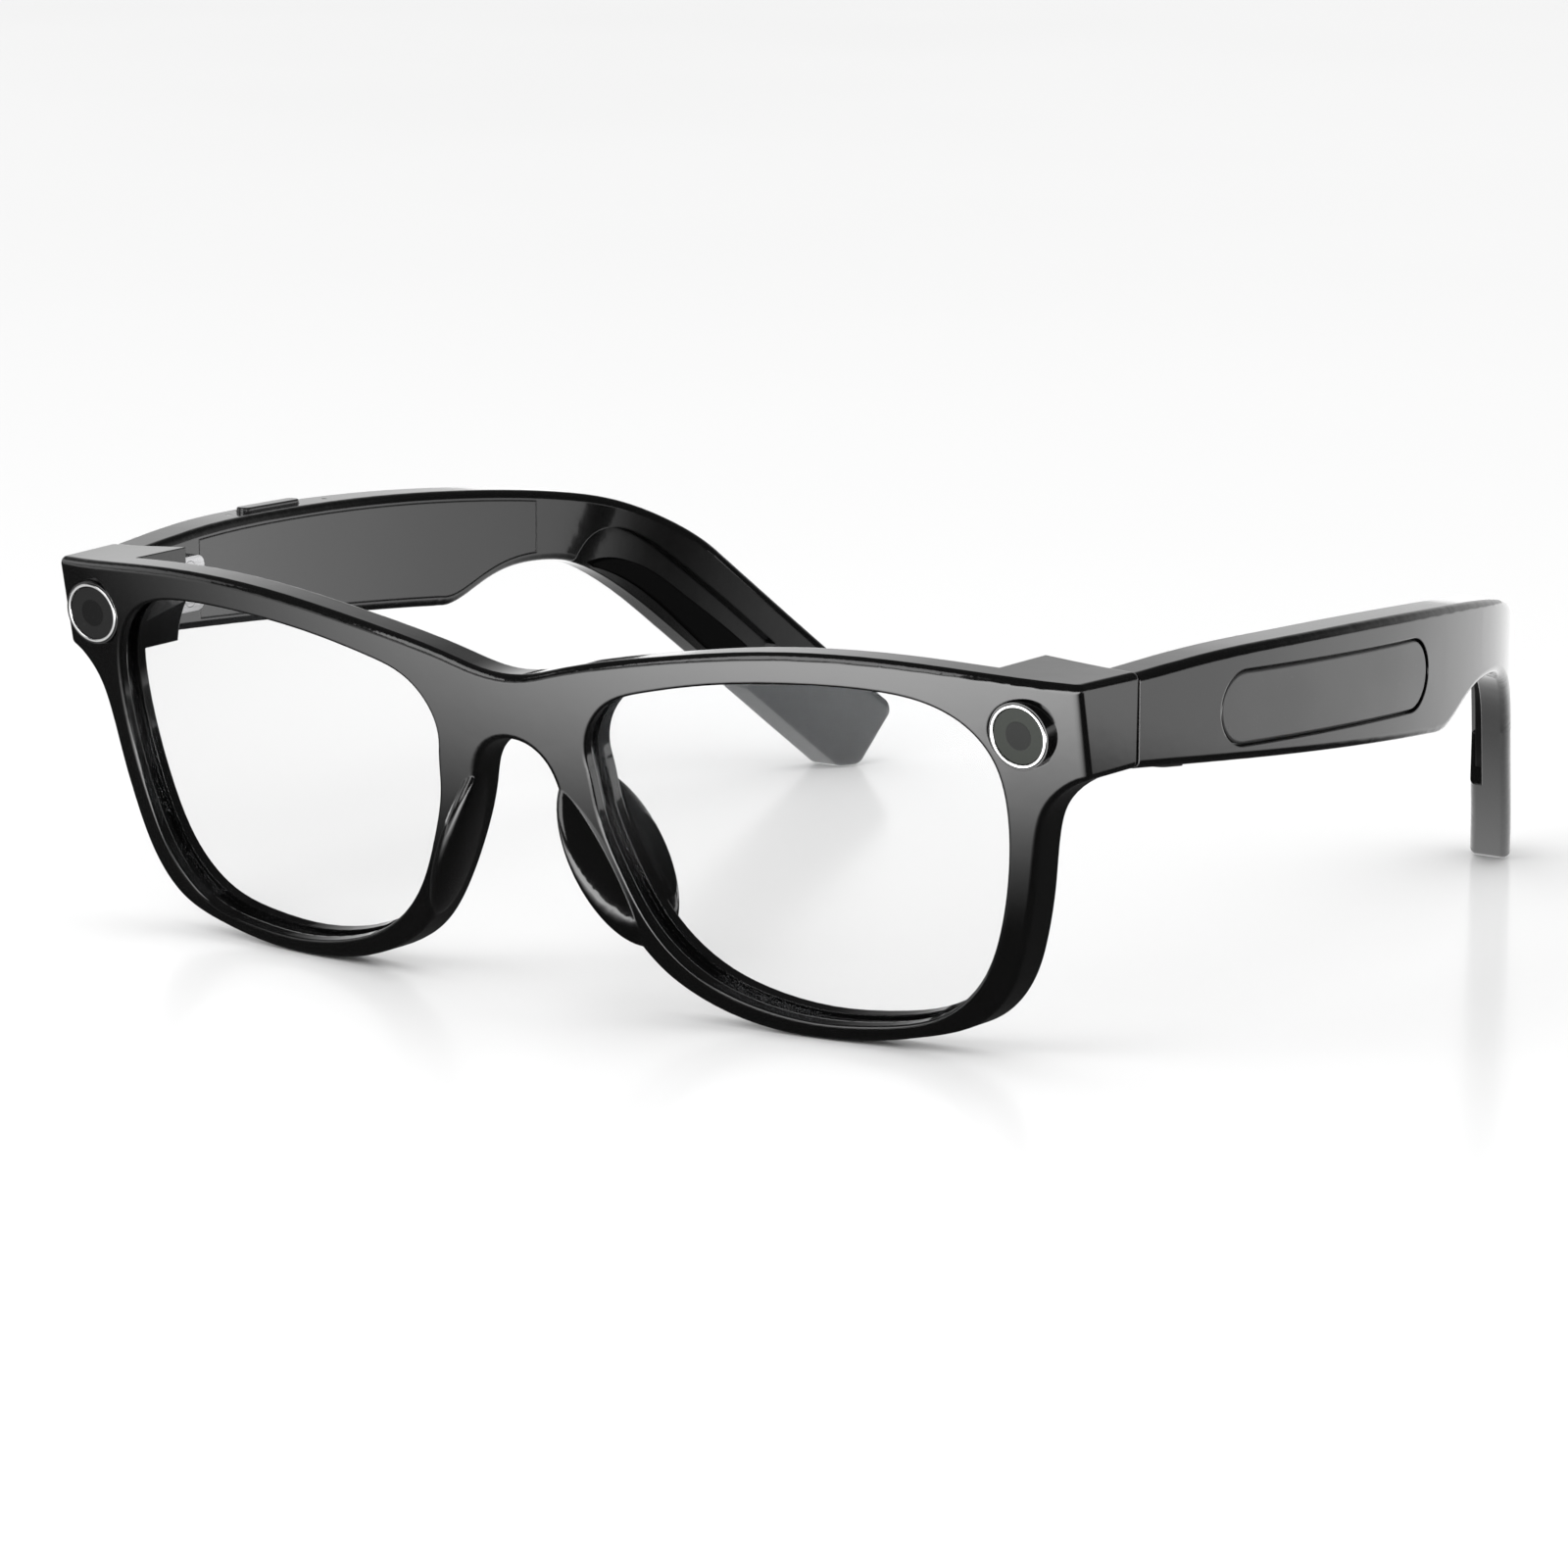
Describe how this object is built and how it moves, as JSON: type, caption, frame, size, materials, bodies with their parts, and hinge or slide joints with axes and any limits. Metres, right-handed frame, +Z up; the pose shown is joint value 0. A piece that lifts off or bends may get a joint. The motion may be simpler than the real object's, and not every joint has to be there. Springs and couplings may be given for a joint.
{
  "type": "smart glasses",
  "caption": "Folding camera glasses: black frame with clear lenses, round modules in the end pieces, hinged electronics temples, touch panel and capture button.",
  "frame": {"origin": "on the surface the open glasses stand on, at the middle of their width and length", "axes": "+X towards the wearer's left, +Y back along the temples, +Z up; the lenses face -Y"},
  "size_m": [0.158, 0.148, 0.0468],
  "materials": {
    "barrel_black": "fine matte",
    "battery_foil": "pouch foil",
    "bezel_chrome": "polished",
    "button_black": "gloss with soft edges",
    "circuit_board": "solder mask",
    "clear_lens": "clear coated lens",
    "contact_gold": "gold plated",
    "contact_island": "matte",
    "cover_black": "gloss black",
    "ear_pad_rubber": "soft matte",
    "flex_circuit": "polyimide film",
    "frame_gloss_black": "high-gloss injection-moulded black",
    "grille_mesh": "fine woven mesh, blackened",
    "hinge_steel": "polished stainless",
    "light_pipe": "frosted clear",
    "module_black": "gloss black",
    "module_glass": "dark tinted cover glass",
    "optic_glass": "coated optic",
    "reflector": "white reflective",
    "speaker_body": "matte",
    "switch_metal": "stamped",
    "temple_gloss_black": "high-gloss injection-moulded black",
    "touch_panel_black": "satin gloss"
  },
  "bodies": {
    "front": {"front_frame": "frame_gloss_black", "brow_flex_circuit": "flex_circuit", "brow_channel_strip": "cover_black", "lens_left": "clear_lens", "lens_right": "clear_lens", "camera_housing": "module_black", "camera_bezel_ring": "bezel_chrome", "camera_cover_glass": "module_glass", "camera_lens_barrel": "barrel_black", "camera_lens_element": "optic_glass", "camera_sensor_board": "circuit_board", "light_housing": "module_black", "light_bezel_ring": "bezel_chrome", "light_cover_glass": "module_glass", "light_reflector": "reflector", "light_diode_board": "circuit_board", "hinge_front_leaf_left": "hinge_steel", "hinge_front_leaf_right": "hinge_steel", "hinge_pin_left": "hinge_steel", "hinge_pin_right": "hinge_steel"},
    "temple_left": {"temple_left_shell": "temple_gloss_black", "temple_left_inner_cover": "cover_black", "temple_left_ear_pad": "ear_pad_rubber", "temple_left_hinge_leaf": "hinge_steel", "temple_left_hinge_screws": "hinge_steel", "temple_left_battery": "battery_foil", "temple_left_speaker": "speaker_body", "temple_left_speaker_grille": "grille_mesh", "touch_panel": "touch_panel_black", "touch_sensor_board": "circuit_board", "main_board": "circuit_board", "charging_contact_block": "contact_island", "charging_contact_pins": "contact_gold"},
    "temple_right": {"temple_right_shell": "temple_gloss_black", "temple_right_inner_cover": "cover_black", "temple_right_ear_pad": "ear_pad_rubber", "temple_right_hinge_leaf": "hinge_steel", "temple_right_hinge_screws": "hinge_steel", "temple_right_battery": "battery_foil", "temple_right_speaker": "speaker_body", "temple_right_speaker_grille": "grille_mesh", "side_board": "circuit_board", "button_switch": "switch_metal", "status_light_pipe": "light_pipe", "microphone": "switch_metal"},
    "capture_button": {"capture_button": "button_black"}
  },
  "joints": [
    {"name": "temple_left_fold", "type": "hinge", "parent": "front", "child": "temple_left", "pos_m": [0.069, -0.0538, 0.0399], "axis": [0, 0, 1], "range_deg": [0, 80]},
    {"name": "temple_right_fold", "type": "hinge", "parent": "front", "child": "temple_right", "pos_m": [-0.069, -0.0538, 0.0399], "axis": [0, 0, -1], "range_deg": [0, 71.5]},
    {"name": "capture_button_press", "type": "slide", "parent": "temple_right", "child": "capture_button", "axis": [0.0016, -0.0323, -0.9995], "range_m": [0, 0.0003], "stiffness_N_per_m": 1500, "springref_m": -0.0006}
  ]
}
